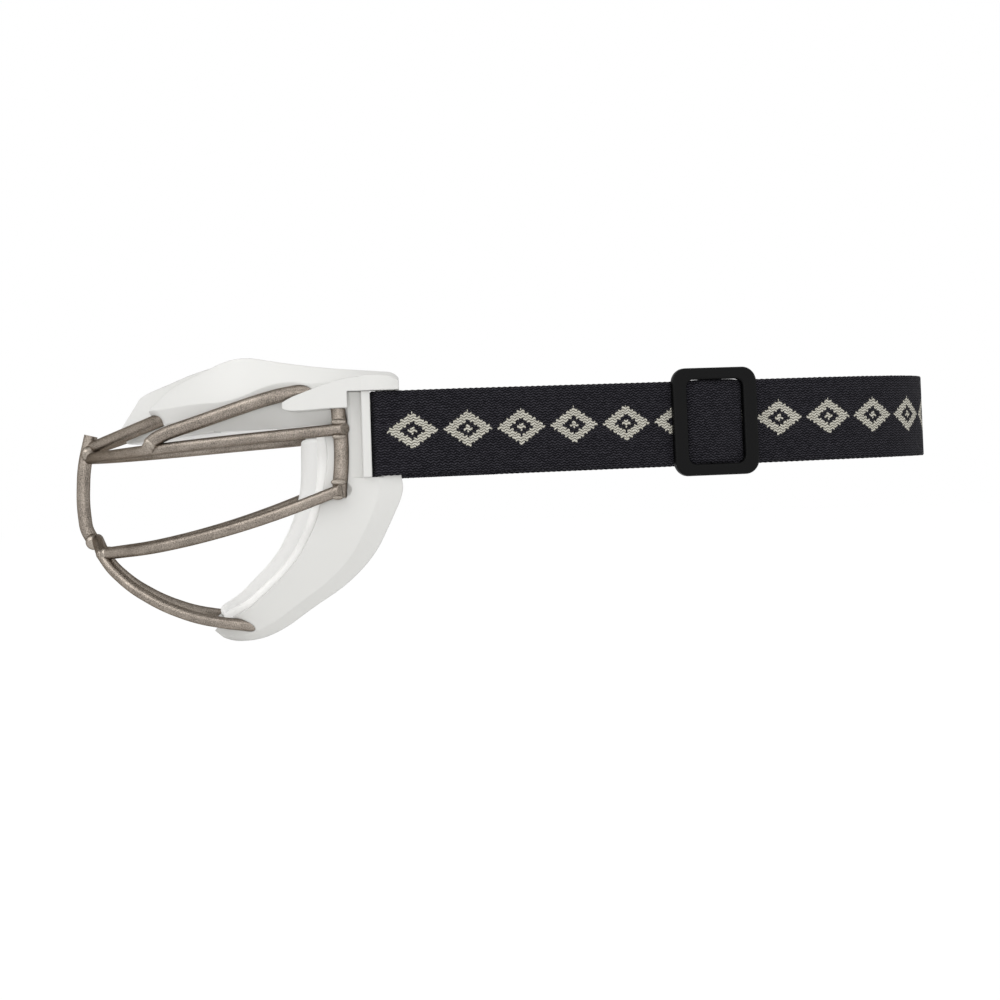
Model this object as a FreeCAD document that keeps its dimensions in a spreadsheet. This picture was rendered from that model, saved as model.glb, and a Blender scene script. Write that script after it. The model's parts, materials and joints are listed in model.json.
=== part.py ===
"""Lacrosse goggles: a welded wire cage in a white moulded frame, with pads, strap and slide adjuster.

X runs across the face with the wearer's left at +X, the face looks along -Y, and Z is up.
The origin is on the mid plane at eye level, just in front of the forehead.
"""
import FreeCAD, Part
import math
import os

Vector = FreeCAD.Vector

# Driving dimensions, in millimetres and degrees.
SIZES = (
    ("half_width", 78.0, "mid plane to the outside of a temple"),
    ("frame_depth", 98.0, "front of the cage to the rear of a temple"),
    ("frame_height", 86.0, "lowest cheek edge to the top of the brow"),
    ("wire_diameter", 4.3, "titanium wire of the centre bar, the side posts and the brow wires"),
    ("cross_wire_diameter", 3.5, "titanium wire of the cross bars, the nose wire and the bottom wires"),
    ("bead_rise", 0.35, "how far a weld bead stands out of its wire"),
    ("weld_radius", 2.6, "weld metal at the side posts and both ends of the centre bar"),
    ("wire_cut_angle", 45.0, "slant of a cross bar's cut end"),
    ("embed_gap", 0.1, "clearance round a wire where it sits in a moulding"),
    ("brow_thickness", 9.2, "inside of the brow moulding to its furthest face"),
    ("cheek_wall", 4.1, "wall of a cheek frame"),
    ("parting_gap", 0.1, "between the brow moulding and a cheek frame"),
    ("slot_lip_width", 2.6, "raised lip in front of the strap slot"),
    ("slot_lip_rise", 0.9, "slot lip over the temple's face"),
    ("recess_width", 3.6, "recess between the side post and the slot lip"),
    ("recess_depth", 2.4, "recess under the temple's face"),
    ("pad_thickness", 7.0, "face pads at their crown"),
    ("pad_gap", 0.3, "between a pad and the moulding that it lines"),
    ("pad_lead", 2.2, "how far a cheek pad shows in front of its frame"),
    ("strap_height", 25.4, "elastic webbing, edge to edge"),
    ("strap_thickness", 1.2, "elastic webbing"),
    ("strap_slot_gap", 0.3, "between the webbing and what it goes round"),
    ("slot_end_gap", 0.2, "between an edge of the webbing and the end of its slot"),
    ("slide_gap", 0.15, "between the webbing and the bars of the slide adjuster"),
    ("strap_lead", 7.0, "webbing that runs straight back over the slot bar"),
    ("strap_lead_radius", 60.0, "bend of the webbing behind the temple"),
    ("toe_in_angle", 14.5, "turn of the straight webbing towards the mid plane"),
    ("strap_straight", 113.7, "straight webbing that the slide adjuster travels on"),
    ("strap_side_radius", 85.0, "gentle bend before the rear fold"),
    ("side_turn_angle", 35.0, "heading of the webbing where the rear fold starts"),
    ("strap_rise_angle", 0.6, "rise of the webbing from the slots to the rear"),
    ("slide_length", 28.0, "slide adjuster along the webbing"),
    ("slide_height", 33.0, "slide adjuster across the webbing"),
    ("slide_bar_width", 4.6, "outer bars of the slide adjuster"),
    ("slide_bar_thickness", 2.0, "all bars of the slide adjuster"),
    ("slide_middle_width", 3.4, "middle bar of the slide adjuster"),
    ("slide_corner_radius", 4.6, "outside corners of the slide adjuster"),
    ("slide_window_radius", 2.4, "corners of the slide adjuster's window"),
    ("slide_edge_radius", 0.7, "rounding of the slide adjuster's outer rims"),
    ("slide_leg_length", 6.0, "legs from the slide adjuster's rails down to its middle bar"),
    ("slide_place", 82.6, "start of the straight webbing to the middle bar"),
    ("loop_gap", 0.05, "between webbing and what it is sewn or pulled tight against"),
    ("loop_length", 18.0, "webbing end that lies back along itself under the slide adjuster"),
    ("crown_rise", 1.3, "webbing over the middle bar, above its ends"),
    ("crown_inset", 0.8, "edges of the swell inside the window's corners"),
    ("crown_end", 0.4, "webbing where it dips under the outer bars"),
    ("tail_angle", 25.0, "turn of the right end of the webbing towards its outer layer"),
    ("tail_bend_radius", 8.0, "bends of the right end of the webbing"),
    ("tail_length", 12.0, "sewn part of the right end of the webbing"),
    ("tack_width", 1.2, "one bar tack along the webbing"),
    ("tack_height", 21.0, "one bar tack across the webbing"),
    ("tack_rise", 0.3, "thread standing out of the webbing"),
)

doc = FreeCAD.newDocument("lacrosse_goggles")
sheet = doc.addObject("Spreadsheet::Sheet", "sizes")
for row, (alias, value, meaning) in enumerate(SIZES, start=1):
    sheet.set(f"A{row}", meaning)
    sheet.set(f"B{row}", str(value))
    sheet.setAlias(f"B{row}", alias)
doc.recompute()


def size(alias):
    """A driving dimension from the sheet."""
    return float(sheet.get(alias))


# Where the wires run, as shares of the half width, the frame's depth and its height.
CENTRE_BAR_SHARES = (
    (0, -0.331, 0.174), (0, -0.357, 0.058), (0, -0.363, -0.076), (0, -0.355, -0.17), (0, -0.332, -0.216))
NOSE_WIRE_SHARES = ((0.25, -0.304, -0.262), (0.15, -0.316, -0.222), (0, -0.320, -0.204))
BROW_WIRE_SHARES = ((0, -0.333, 0.125), (0.46, -0.07, 0.231))
UPPER_WIRE_SHARES = (
    (0, -0.342, 0.09), (0.28, -0.268, 0.095), (0.564, -0.14, 0.106), (0.718, 0.014, 0.119),
    (0.82, 0.167, 0.132), (0.895, 0.318, 0.143), (0.967, 0.474, 0.156))
OUTER_BROW_WIRE_SHARES = (
    (0.574, -0.146, 0.11), (0.588, -0.13, 0.14), (0.63, -0.086, 0.164), (0.718, 0.016, 0.198),
    (0.79, 0.115, 0.233), (0.838, 0.2, 0.262), (0.864, 0.28, 0.284), (0.864, 0.4, 0.292))
SIDE_POST_SHARES = ((0.925, 0.434, 0.236), (0.936, 0.443, 0.075), (0.925, 0.43, -0.082))
LOWER_WIRE_SHARES = (
    (0.25, -0.302, -0.262), (0.51, -0.144, -0.244), (0.667, -0.001, -0.212), (0.785, 0.14, -0.171),
    (0.885, 0.28, -0.121), (0.965, 0.455, -0.048))
UPPER_CUT_SHARES = (0.967, 0.444, 0.154)
LOWER_CUT_SHARES = (0.965, 0.43, -0.058)
BOTTOM_WIRE_SHARES = (
    (0.25, -0.306, -0.258), (0.305, -0.274, -0.315), (0.385, -0.21, -0.384), (0.474, -0.114, -0.451),
    (0.546, -0.01, -0.497), (0.596, 0.092, -0.519), (0.632, 0.172, -0.528))
BEND_SHARE = 0.45
LOFT_DEGREE = 2
CRUMB_SHARE = 0.03
BEAD_SEAT_SHARE = 1.25

# Upright sections of the brow moulding: place on the inside line as shares of the half width and depth,
# the way it faces in degrees from straight ahead, then its outline as shares of the brow's thickness
# and the frame's height.
BRIDGE_SECTION_SHARES = (
    (0, -0.143, 0, ((0.06, 0.288), (0.35, 0.295), (1, 0.19), (0.76, 0.14), (0.16, 0.14))),
    (0.18, -0.129, 9, ((0.05, 0.3), (0.33, 0.308), (0.74, 0.195), (0.52, 0.14), (0.12, 0.14))),
    (0.346, -0.08, 25, ((0, 0.322), (0.3, 0.33), (0.44, 0.2), (0.32, 0.148), (0.05, 0.148))),
    (0.487, -0.005, 40, ((0, 0.352), (0.28, 0.362), (0.42, 0.21), (0.32, 0.152), (0.05, 0.152))),
    (0.6, 0.085, 51, ((0, 0.385), (0.25, 0.392), (0.45, 0.22), (0.4, 0.16), (0.05, 0.16))))
PANEL_SECTION_SHARES = (
    (0.338, -0.083, 26, ((0.3, 0.25), (0.6, 0.258), (0.7, 0.248), (0.62, 0.236), (0.45, 0.23), (0.3, 0.23))),
    (0.395, -0.056, 31, (
        (0.08, 0.28), (0.58, 0.292), (0.82, 0.25), (0.5, 0.197), (0.3, 0.176), (0.05, 0.176))),
    (0.462, -0.02, 38, ((0.05, 0.318), (0.56, 0.328), (0.86, 0.252), (0.74, 0.2), (0.38, 0.165), (0, 0.165))),
    (0.583, 0.071, 49, ((0, 0.372), (0.5, 0.38), (0.86, 0.262), (0.74, 0.205), (0.38, 0.163), (0, 0.163))),
    (0.673, 0.163, 58, ((0, 0.41), (0.42, 0.416), (0.86, 0.272), (0.76, 0.212), (0.38, 0.163), (0, 0.163))),
    (0.754, 0.276, 67, ((0, 0.39), (0.4, 0.396), (0.7, 0.32), (0.6, 0.25), (0.38, 0.165), (0, 0.165))),
    (0.823, 0.393, 75, ((0, 0.365), (0.42, 0.372), (0.74, 0.315), (0.7, 0.255), (0.4, 0.172), (0, 0.172))),
    (0.879, 0.51, 81, ((0, 0.35), (0.5, 0.356), (0.92, 0.335), (0.92, 0.26), (0.4, 0.18), (0, 0.18))),
    (0.903, 0.605, 84.5, ((0, 0.336), (0.5, 0.343), (0.87, 0.329), (0.9, 0.275), (0.4, 0.2), (0, 0.2))),
    (0.907, 0.624, 85.5, ((0, 0.318), (0.45, 0.325), (0.78, 0.314), (0.84, 0.28), (0.4, 0.21), (0, 0.21))))
PARTING_UP_SHARE = 0.283
LIP_UP_SHARE = 0.162
PARTING_ALONG_SHARE = 0.461
TONGUE_SECTION_SHARES = (
    (0.774, 0.3, 68, ((0.66, 0.226), (0.98, 0.23), (0.98, 0.252), (0.66, 0.248))),
    (0.79, 0.33, 70, ((0.56, 0.219), (1.08, 0.222), (1.08, 0.27), (0.56, 0.258))),
    (0.815, 0.385, 73, ((0.56, 0.22), (1.14, 0.223), (1.14, 0.294), (0.56, 0.276))),
    (0.84, 0.44, 76, ((0.56, 0.223), (1.13, 0.226), (1.13, 0.318), (0.56, 0.304))),
    (0.87, 0.51, 79, ((0.56, 0.225), (1.02, 0.228), (1.02, 0.332), (0.56, 0.34))),
    (0.889, 0.56, 82.5, ((0.56, 0.26), (0.86, 0.262), (0.86, 0.322), (0.56, 0.33))))

# Sections of a cheek frame from temple to tip: front edge and rear edge as shares of the depth and
# height, then the outer face at the front, crease and rear as shares of the half width.
CHEEK_SECTION_SHARES = (
    (0.394, 0.3, 0.618, 0.3, 0.91, 0.969, 0.969),
    (0.394, 0.12, 0.62, 0.12, 0.91, 0.969, 0.969),
    (0.388, -0.03, 0.621, -0.03, 0.908, 0.969, 0.969),
    (0.371, -0.11, 0.618, -0.087, 0.9, 0.962, 0.962),
    (0.353, -0.178, 0.577, -0.192, 0.887, 0.945, 0.936),
    (0.31, -0.272, 0.524, -0.297, 0.859, 0.91, 0.905),
    (0.266, -0.337, 0.449, -0.384, 0.824, 0.87, 0.867),
    (0.217, -0.393, 0.362, -0.453, 0.776, 0.82, 0.814),
    (0.162, -0.451, 0.276, -0.523, 0.705, 0.75, 0.744),
    (0.106, -0.491, 0.188, -0.572, 0.6, 0.642, 0.64),
    (0.063, -0.524, 0.112, -0.581, 0.53, 0.562, 0.556),
    (0.045, -0.544, 0.07, -0.568, 0.5, 0.52, 0.516))
CREASE_SHARE = 0.7

# Face pads: outlines as shares of a cushion's thickness and height, or of its length and thickness.
BROW_CUSHION_SHARES = (
    (0, 0.04), (0, 0.96), (0.55, 1), (0.9, 0.8), (1, 0.5), (0.9, 0.2), (0.55, 0))
CHEEK_CUSHION_SHARES = ((1, 0), (1, 0.5), (0.75, 0.92), (0.45, 1), (0.15, 0.85), (0, 0.4))
CREASE_LIMIT_SHARE = 0.9
CHEEK_PAD_END_SHARES = (0.52, 0.52, 0.52, 0.6, 0.9, 0.94, 0.94, 0.92, 0.9, 0.8)
BROW_PAD_SHARES = (
    (0, -0.143, 0), (0.18, -0.129, 9), (0.346, -0.08, 25), (0.487, -0.005, 40), (0.6, 0.085, 51),
    (0.69, 0.19, 61), (0.745, 0.28, 67))
BROW_PAD_UP_SHARES = (
    (0.13, 0.28), (0.13, 0.29), (0.14, 0.31), (0.15, 0.33), (0.16, 0.35), (0.165, 0.35), (0.18, 0.31))


def at(across, along, up):
    """A point from its shares of the half width, the depth and the height."""
    return Vector(across * size("half_width"), along * size("frame_depth"), up * size("frame_height"))


def mirrored(shape):
    """The same piece on the other side of the mid plane."""
    return shape.mirror(Vector(0, 0, 0), Vector(1, 0, 0))


def bend_edges(before, corner, after):
    """Where a bend at a corner starts and ends, and its middle."""
    incoming = corner - before
    outgoing = after - corner
    reach = BEND_SHARE * min(incoming.Length, outgoing.Length)
    incoming.normalize()
    outgoing.normalize()
    half_turn = incoming.getAngle(outgoing) / 2
    radius = reach / math.tan(half_turn)
    inward = outgoing - incoming
    inward.normalize()
    middle = corner + inward * (radius / math.cos(half_turn) - radius)
    return corner - incoming * reach, middle, corner + outgoing * reach


def wire_line(route):
    """Straight runs joined by tangent bends, as formed wire has them."""
    edges = []
    start = route[0]
    for before, corner, after in zip(route, route[1:], route[2:]):
        bend_start, middle, bend_end = bend_edges(before, corner, after)
        edges.append(Part.LineSegment(start, bend_start).toShape())
        edges.append(Part.Arc(bend_start, middle, bend_end).toShape())
        start = bend_end
    edges.append(Part.LineSegment(start, route[-1]).toShape())
    return Part.Wire(edges)


def block(low, high):
    """A block between two corners."""
    extent = high - low
    return Part.makeBox(extent.x, extent.y, extent.z, low)


def round_wire(route, diameter):
    """A round wire along its route."""
    ring = Part.Wire(Part.makeCircle(diameter / 2, route[0], route[1] - route[0]))
    return wire_line(route).makePipeShell([ring], True, False)


def domed_wire(route, diameter):
    """A round wire with a domed end."""
    direction = route[-1] - route[-2]
    dome = Part.makeSphere(diameter / 2, route[-1], direction, 0, 90, 360)
    return round_wire(route, diameter).fuse(dome)


def started_back(route, distance):
    """A route that starts further back along its first run."""
    direction = (route[0] - route[1]).normalize()
    return [route[0] + direction * distance] + route[1:]


def beyond_plane(place, normal):
    """A block that takes away what lies past a plane."""
    reach = size("frame_depth")
    cutter = Part.makeBox(2 * reach, 2 * reach, 2 * reach, Vector(-reach, -reach, 0))
    cutter.Placement = FreeCAD.Placement(place, FreeCAD.Rotation(Vector(0, 0, 1), normal))
    return cutter


def route_of(shares):
    """A wire's route from its table."""
    return [at(*share) for share in shares]


def mirrored_route(route):
    """A route that runs from one side over the mid plane to the other."""
    other = [Vector(-point.x, point.y, point.z) for point in reversed(route[:-1])]
    return route + other


def add_feature(label, shape):
    """A sub-part whose shape is worked out from the sheet's sizes."""
    piece = doc.addObject("Part::Feature", label)
    piece.Label = label
    piece.Shape = shape
    piece.Placement = FreeCAD.Placement()
    return piece


def add_pair(stem, left_shape):
    """The left and right pieces of a mirrored pair."""
    return [add_feature(stem + "_left", left_shape), add_feature(stem + "_right", mirrored(left_shape))]


def origin_plane(body, role):
    """One of a body's own origin planes."""
    return next(plane for plane in body.Origin.OriginFeatures if plane.Role == role)


def add_sketch(body, name, role, geometry, offset=None):
    """A closed outline on a body's own plane."""
    sketch = body.newObject("Sketcher::SketchObject", name)
    sketch.AttachmentSupport = [(origin_plane(body, role), "")]
    sketch.MapMode = "FlatFace"
    if offset is not None:
        sketch.AttachmentOffset = offset
    sketch.addGeometry(geometry, False)
    return sketch


def add_step(body, kind, name, sketch, rule):
    """A sketch raised along its normal or cut against it, as far as the rule on the sheet says."""
    step = body.newObject(kind, name)
    step.Profile = sketch
    step.setExpression("Length", f"({rule}) * 1 mm")
    return step


def closed_lines(corners):
    """Straight sides through the corners and back to the first."""
    return [Part.LineSegment(start, end) for start, end in zip(corners, corners[1:] + corners[:1])]


def upright_section(across, along, facing, outline):
    """A closed outline of outward and upward places on the upright plane that faces that way."""
    angle = math.radians(facing)
    outward = Vector(math.sin(angle), -math.cos(angle), 0)
    base = at(across, along, 0)
    corners = [base + outward * out + Vector(0, 0, up) for out, up in outline]
    return Part.makePolygon(corners + corners[:1])


def smooth_loft(sections):
    """A solid through the sections, as smooth as a moulding between them and no wider."""
    return Part.makeLoft(sections, True, False, False, LOFT_DEGREE)


def mirrored_sections(sections):
    """Sections on both sides of the one on the mid plane, in order."""
    other = [mirrored(section) for section in reversed(sections[1:])]
    return [Part.Wire(section.Edges) for section in other] + sections


# The cage.
wire_radius = size("wire_diameter") / 2
cross_radius = size("cross_wire_diameter") / 2

bar_route = route_of(CENTRE_BAR_SHARES)
nose_route = route_of(NOSE_WIRE_SHARES)
brow_route = route_of(BROW_WIRE_SHARES)
upper_route = route_of(UPPER_WIRE_SHARES)
outer_brow_route = route_of(OUTER_BROW_WIRE_SHARES)
post_route = route_of(SIDE_POST_SHARES)
lower_route = route_of(LOWER_WIRE_SHARES)
bottom_route = route_of(BOTTOM_WIRE_SHARES)
other_side = block(at(-1, -1, -1), at(0, 1, 1))


def build_cage():
    """Wires coped to one another at their welds: the left ones and those on the mid plane."""
    cut_angle = math.radians(size("wire_cut_angle"))
    slant = Vector(math.sin(cut_angle), math.cos(cut_angle), 0)
    nose = round_wire(mirrored_route(nose_route), size("cross_wire_diameter"))
    bar = round_wire(bar_route, size("wire_diameter")).cut(nose)
    post = round_wire(post_route, size("wire_diameter"))
    brow = round_wire(started_back(brow_route, wire_radius), size("wire_diameter"))
    brow = brow.cut(other_side).cut(bar)
    upper = round_wire(started_back(upper_route, wire_radius), size("cross_wire_diameter"))
    upper = upper.cut(other_side).cut(beyond_plane(at(*UPPER_CUT_SHARES), slant))
    upper = upper.cut(bar).cut(brow).cut(post)
    outer_brow = round_wire(outer_brow_route, size("wire_diameter")).cut(upper)
    bottom = domed_wire(bottom_route, size("cross_wire_diameter")).cut(nose)
    lower = round_wire(lower_route, size("cross_wire_diameter"))
    lower = lower.cut(beyond_plane(at(*LOWER_CUT_SHARES), slant)).cut(nose).cut(bottom).cut(post)
    mid_wires = {"centre_bar": bar, "nose_wire": nose}
    side_wires = {
        "side_post": post, "brow_wire": brow, "upper_wire": upper, "outer_brow_wire": outer_brow,
        "bottom_wire": bottom, "lower_wire": lower}
    return mid_wires, side_wires


def largest_solid(shape):
    """The wire itself, without the crumb that coping leaves past the joint."""
    return max(shape.Solids, key=lambda solid: solid.Volume)


def bead(end, towards, seat_radius, radius):
    """A ball of weld metal round a wire's end, just off the wire that it is welded to."""
    direction = towards - end
    direction.normalize()
    return Part.makeSphere(radius + size("bead_rise"), end + direction * seat_radius)


mid_wires, side_wires = build_cage()
mid_wires = {name: largest_solid(shape) for name, shape in mid_wires.items()}
side_wires = {name: largest_solid(shape) for name, shape in side_wires.items()}
for name, shape in mid_wires.items():
    add_feature(name, shape)
for name, shape in side_wires.items():
    add_pair(name, shape)


def less(shape, others):
    """A shape with the others taken out of it, without the crumbs that this leaves."""
    whole = shape.Volume
    for other in others:
        shape = shape.cut(other)
    return Part.makeCompound([solid for solid in shape.Solids if solid.Volume > CRUMB_SHARE * whole])


def post_weld(cut_shares, clearance=0):
    """Weld metal round the place where a cross bar lies over its side post."""
    across, along, up = cut_shares
    middle = (across + SIDE_POST_SHARES[1][0]) / 2
    return Part.makeSphere(size("weld_radius") + clearance, at(middle, SIDE_POST_SHARES[1][1], up))


front_bead_places = (
    (outer_brow_route[0], outer_brow_route[1], cross_radius * BEAD_SEAT_SHARE, wire_radius),
    (lower_route[0], lower_route[1], wire_radius, cross_radius))


def build_beads():
    """Weld beads on the left side and on the mid plane."""
    wires = list(mid_wires.values()) + list(side_wires.values())
    side_beads = [less(bead(*place), wires) for place in front_bead_places]
    side_beads += [less(post_weld(shares), wires) for shares in (UPPER_CUT_SHARES, LOWER_CUT_SHARES)]
    mid_beads = []
    for middle in ((brow_route[0] + upper_route[0]) / 2, bar_route[-1]):
        centre = middle + Vector(wire_radius, 0, 0)
        ball = Part.makeSphere(size("weld_radius"), centre, Vector(0, 1, 0))
        lump = less(ball.cut(other_side), wires)
        mid_beads += [lump, mirrored(lump)]
    return side_beads, mid_beads


def grouped(shapes):
    """Separate solids that share a node."""
    return Part.makeCompound([solid for shape in shapes for solid in shape.Solids])


side_beads, mid_beads = build_beads()
add_feature("weld_beads_centre", grouped(mid_beads))
add_pair("weld_beads", grouped(side_beads))

# The mouldings.
embedded = {
    "brow_wire": round_wire(brow_route, size("wire_diameter") + 2 * size("embed_gap")),
    "outer_brow_wire": round_wire(outer_brow_route, size("wire_diameter") + 2 * size("embed_gap")),
    "side_post": round_wire(
        [post_route[0] + (post_route[0] - post_route[1]).normalize() * size("embed_gap")] + post_route[1:],
        size("wire_diameter") + 2 * size("embed_gap")),
    "upper_wire": round_wire(upper_route, size("cross_wire_diameter") + 2 * size("embed_gap")),
    "lower_wire": round_wire(lower_route, size("cross_wire_diameter") + 2 * size("embed_gap")),
    "bottom_wire": domed_wire(bottom_route, size("cross_wire_diameter") + 2 * size("embed_gap"))}


def scaled_outline(outline):
    """An outline of the brow moulding in millimetres."""
    thickness = size("brow_thickness")
    height = size("frame_height")
    return [(out * thickness, up * height) for out, up in outline]


def build_brow_shell():
    """The brow moulding: a recessed bridge, a raised panel on each side and the tongues over the posts."""
    bridge_sections = [
        upright_section(across, along, facing, scaled_outline(outline))
        for across, along, facing, outline in BRIDGE_SECTION_SHARES]
    bridge = smooth_loft(mirrored_sections(bridge_sections))
    panel_sections = [
        upright_section(across, along, facing, scaled_outline(outline))
        for across, along, facing, outline in PANEL_SECTION_SHARES]
    panel = smooth_loft(panel_sections)
    low = at(0, PARTING_ALONG_SHARE, -1)
    high = at(2, 1, PARTING_UP_SHARE)
    panel = panel.cut(block(low, high))
    tongue_sections = [
        upright_section(across, along, facing, scaled_outline(outline))
        for across, along, facing, outline in TONGUE_SECTION_SHARES]
    tongue = smooth_loft(tongue_sections).cut(block(low, high))
    left = panel.fuse(tongue)
    shell = bridge.fuse([left, mirrored(left)]).removeSplitter()
    for name in ("brow_wire", "outer_brow_wire", "side_post", "upper_wire"):
        shell = shell.cut(embedded[name]).cut(mirrored(embedded[name]))
    return largest_solid(shell)


def cheek_section(front_along, front_up, rear_along, rear_up, front_across, crease_across, rear_across):
    """One section of a cheek frame, on the plane through its two edges and the across direction."""
    front = at(0, front_along, front_up)
    rear = at(0, rear_along, rear_up)
    crease = front + (rear - front) * CREASE_SHARE
    wall = size("cheek_wall")
    width = size("half_width")
    outer = [(front, front_across * width), (crease, crease_across * width), (rear, rear_across * width)]
    corners = [point + Vector(across, 0, 0) for point, across in outer]
    corners += [point + Vector(across - wall, 0, 0) for point, across in reversed(outer)]
    return Part.makePolygon(corners + corners[:1])


bar_radius = size("cheek_wall") / 2
strap_high = PARTING_UP_SHARE * size("frame_height") - size("slot_end_gap")
strap_low = strap_high - size("strap_height")
strap_middle = (strap_low + strap_high) / 2
bar_face = CHEEK_SECTION_SHARES[1][6] * size("half_width")
bar_rear = CHEEK_SECTION_SHARES[1][2] * size("frame_depth")
turn_centre = Vector(bar_face - bar_radius, bar_rear - size("strap_lead") + bar_radius, 0)
slot_rear = turn_centre.y
slot_front = turn_centre.y - bar_radius - 2 * size("strap_slot_gap") - size("strap_thickness")


def build_cheek_frame():
    """A cheek frame: temple plate with its strap slot, running down into the cheek's crescent."""
    sections = [cheek_section(*shares) for shares in CHEEK_SECTION_SHARES]
    frame = smooth_loft(sections)
    parting = PARTING_UP_SHARE * size("frame_height") - size("parting_gap")
    beyond = at(2, 1, 1)
    frame = frame.cut(block(Vector(0, 0, parting), beyond))
    lip = LIP_UP_SHARE * size("frame_height") - size("parting_gap")
    split = PARTING_ALONG_SHARE * size("frame_depth") + size("parting_gap")
    frame = frame.cut(block(Vector(0, 0, lip), Vector(beyond.x, split, beyond.z)))
    slot_low = strap_low - size("slot_end_gap")
    slot = block(Vector(0, slot_front, slot_low), Vector(beyond.x, slot_rear, beyond.z))
    rod = Part.makeCylinder(bar_radius, parting - slot_low, Vector(turn_centre.x, turn_centre.y, slot_low))
    lip_front = slot_front - size("slot_lip_width")
    lip_bar = block(
        Vector(bar_face - size("cheek_wall"), lip_front, slot_low),
        Vector(bar_face + size("slot_lip_rise"), slot_front, parting))
    recess = block(
        Vector(bar_face - size("recess_depth"), lip_front - size("recess_width"), slot_low),
        Vector(beyond.x, lip_front, beyond.z))
    frame = frame.cut(slot).cut(recess).fuse([rod, lip_bar]).removeSplitter()
    for name in ("side_post", "upper_wire", "lower_wire", "bottom_wire"):
        frame = frame.cut(embedded[name])
    for shares in (UPPER_CUT_SHARES, LOWER_CUT_SHARES):
        frame = frame.cut(post_weld(shares, size("embed_gap")))
    return largest_solid(frame)


brow_shell = build_brow_shell()
cheek_frame = build_cheek_frame()
add_feature("brow_shell", brow_shell)
add_pair("cheek_frame", cheek_frame)


def cushion_outline(depth, low, high):
    """A cushion's section: flat against its moulding, drawn in at the sides and crowned on the face."""
    height = high - low
    return [(-depth * out, low + height * up) for out, up in BROW_CUSHION_SHARES]


def build_brow_pad():
    """The brow pad, one cushion from temple to temple behind the brow moulding."""
    sections = []
    for (across, along, facing), (low, high) in zip(BROW_PAD_SHARES, BROW_PAD_UP_SHARES):
        outline = cushion_outline(
            size("pad_thickness"), low * size("frame_height"), high * size("frame_height"))
        outline = [(out - size("pad_gap"), up) for out, up in outline]
        sections.append(upright_section(across, along, facing, outline))
    return smooth_loft(mirrored_sections(sections))


def cheek_pad_section(shares, end_share):
    """One section of a cheek pad, on the inside of the frame's own section."""
    front_along, front_up, rear_along, rear_up, front_across, crease_across, rear_across = shares
    front = at(0, front_along, front_up)
    rear = at(0, rear_along, rear_up)
    width = size("half_width")
    back = rear - front
    lead = -size("pad_lead") / back.Length
    inset = size("cheek_wall") + size("pad_gap")

    def on_frame(share):
        """The frame's inner face at a share of the way from its front edge to its rear edge."""
        if share < CREASE_SHARE:
            across = front_across + (crease_across - front_across) * share / CREASE_SHARE
        else:
            past = (share - CREASE_SHARE) / (1 - CREASE_SHARE)
            across = crease_across + (rear_across - crease_across) * past
        return front + back * share + Vector(across * width - inset, 0, 0)

    stretch = end_share - lead
    crease = min(CREASE_SHARE, CREASE_LIMIT_SHARE * end_share)
    corners = [on_frame(lead), on_frame(crease)]
    for along, out in CHEEK_CUSHION_SHARES:
        corners.append(on_frame(lead + stretch * along) - Vector(size("pad_thickness") * out, 0, 0))
    return Part.makePolygon(corners + corners[:1])


def build_cheek_pad():
    """A cheek pad, lining its frame from the temple down to the tip."""
    sections = [
        cheek_pad_section(shares, end_share)
        for shares, end_share in zip(CHEEK_SECTION_SHARES, CHEEK_PAD_END_SHARES)]
    pad = smooth_loft(sections)
    lip = LIP_UP_SHARE * size("frame_height") - size("pad_gap")
    pad = pad.cut(block(Vector(0, 0, lip), at(2, 1, 1)))
    return pad.cut(domed_wire(bottom_route, size("cross_wire_diameter") + 2 * size("pad_gap")))


brow_pad = build_brow_pad()
cheek_pad = build_cheek_pad()
add_feature("brow_pad", brow_pad)
add_pair("cheek_pad", cheek_pad)

# The strap: a plan line that the webbing's layers follow on both sides.
INNER = bar_radius + size("strap_slot_gap")
OUTER = INNER + size("strap_thickness")
TACK_SHARES = (0.25, 0.8)
toe_in = math.radians(size("toe_in_angle"))
side_turn = math.radians(size("side_turn_angle"))
strap_low_rule = f"{PARTING_UP_SHARE} * sizes.frame_height - sizes.slot_end_gap - sizes.strap_height"

# The whole strap is turned about the line through its two slot bars.
strap_tilt = FreeCAD.Placement(
    Vector(0, 0, 0), FreeCAD.Rotation(Vector(1, 0, 0), size("strap_rise_angle")),
    Vector(0, turn_centre.y, strap_middle))


def ahead(place, heading, distance):
    """A place further along a heading, measured from +Y towards -X."""
    return place + Vector(-math.sin(heading), math.cos(heading), 0) * distance


def aside(place, heading, offset):
    """A place to the outer side of a heading."""
    return place + Vector(math.cos(heading), math.sin(heading), 0) * offset


def walk(place, heading, moves, offset):
    """Edges along a plan line at an offset, with the place and heading where it ends.

    A move is ("run", length) or ("turn", radius, angle), and a positive angle turns towards -X.
    """
    edges = []
    for move in moves:
        start = aside(place, heading, offset)
        if move[0] == "run":
            place = ahead(place, heading, move[1])
            edges.append(Part.LineSegment(start, aside(place, heading, offset)))
        else:
            radius, angle = move[1:]
            centre = aside(place, heading, -math.copysign(radius, angle))
            half_way = aside(centre, heading + angle / 2, math.copysign(radius, angle))
            place = aside(centre, heading + angle, math.copysign(radius, angle))
            middle = aside(half_way, heading + angle / 2, offset)
            heading += angle
            edges.append(Part.Arc(start, middle, aside(place, heading, offset)))
    return edges, place, heading


def band(place, heading, moves, low_offset, high_offset):
    """A closed plan outline between two offsets of the same line."""
    near = walk(place, heading, moves, low_offset)[0]
    far = walk(place, heading, moves, high_offset)[0]
    base = Part.LineSegment(near[0].StartPoint, far[0].StartPoint)
    cap = Part.LineSegment(near[-1].EndPoint, far[-1].EndPoint)
    return near + far + [base, cap]


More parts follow.
